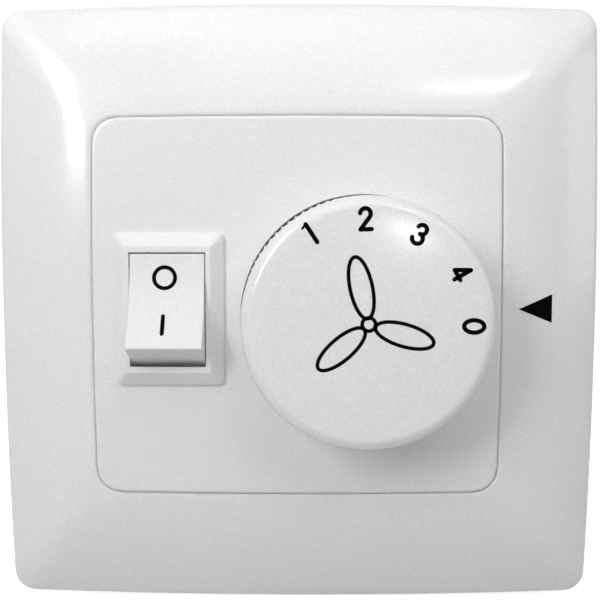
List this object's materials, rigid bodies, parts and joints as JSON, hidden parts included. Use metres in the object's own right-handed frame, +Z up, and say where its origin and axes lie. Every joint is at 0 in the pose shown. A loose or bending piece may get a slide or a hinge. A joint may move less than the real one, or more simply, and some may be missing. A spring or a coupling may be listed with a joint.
{
  "type": "fan speed control switch",
  "caption": "Square flush wall plate with a rocker switch marked O and I beside a serrated rotary fan speed knob marked 0 to 4, on a steel yoke with slots.",
  "frame": {"origin": "centre between the four wall box slots, on the wall face of the yoke", "axes": "+Z up the wall, -Y out of the wall to the viewer, +X to the viewer's right"},
  "size_m": [0.086, 0.0361, 0.086],
  "materials": {
    "white_plastic": "white moulded plastic with a soft sheen",
    "yoke_steel": "zinc plated pressed steel",
    "plated_steel": "zinc plated steel",
    "spring_steel": "plain spring steel",
    "shaft_steel": "turned steel",
    "plated_brass": "plated brass",
    "contact_brass": "bright stamped brass",
    "dark_plastic": "black moulded plastic",
    "index_plastic": "natural moulded plastic",
    "wafer_laminate": "brown insulating laminate"
  },
  "bodies": {
    "plate": {"mounting_yoke": "yoke_steel", "outer_frame": "white_plastic", "centre_plate": "white_plastic", "bushing_plate": "plated_steel", "lock_washer": "spring_steel", "bushing_nut": "plated_brass", "index_housing": "dark_plastic", "contact_wafer": "wafer_laminate", "common_clip": "contact_brass", "speed_clip_1": "contact_brass", "speed_clip_2": "contact_brass", "speed_clip_3": "contact_brass", "speed_clip_4": "contact_brass", "rocker_housing": "white_plastic", "rocker_common_terminal": "contact_brass", "rocker_switched_terminal": "contact_brass"},
    "knob": {"knob": "white_plastic", "knob_clip": "spring_steel", "rotary_shaft": "shaft_steel", "index_rotor": "index_plastic", "detent_pin": "contact_brass", "detent_spring": "spring_steel", "contact_rotor": "wafer_laminate", "rotor_blade": "contact_brass"},
    "rocker": {"rocker_cap": "white_plastic", "rocker_plunger": "index_plastic", "rocker_spring": "spring_steel"},
    "lever": {"rocker_lever": "contact_brass"}
  },
  "joints": [
    {"name": "knob_turn", "type": "hinge", "parent": "plate", "child": "knob", "pos_m": [0.00892, 0, -0.00105], "axis": [0, -1, 0], "range_deg": [-120, 0]},
    {"name": "rocker_press", "type": "hinge", "parent": "plate", "child": "rocker", "pos_m": [-0.0178, -0.00725, 0.0002], "axis": [1, 0, 0], "range_deg": [0, 34.5]},
    {"name": "lever_tilt", "type": "hinge", "parent": "plate", "child": "lever", "pos_m": [-0.0178, -0.0001, 0.0002], "axis": [1, 0, 0], "range_deg": [-14.1, 0]}
  ],
  "couplings": [
    {"joint": "lever_tilt", "follows": "rocker_press", "ratio": -0.4058}
  ]
}
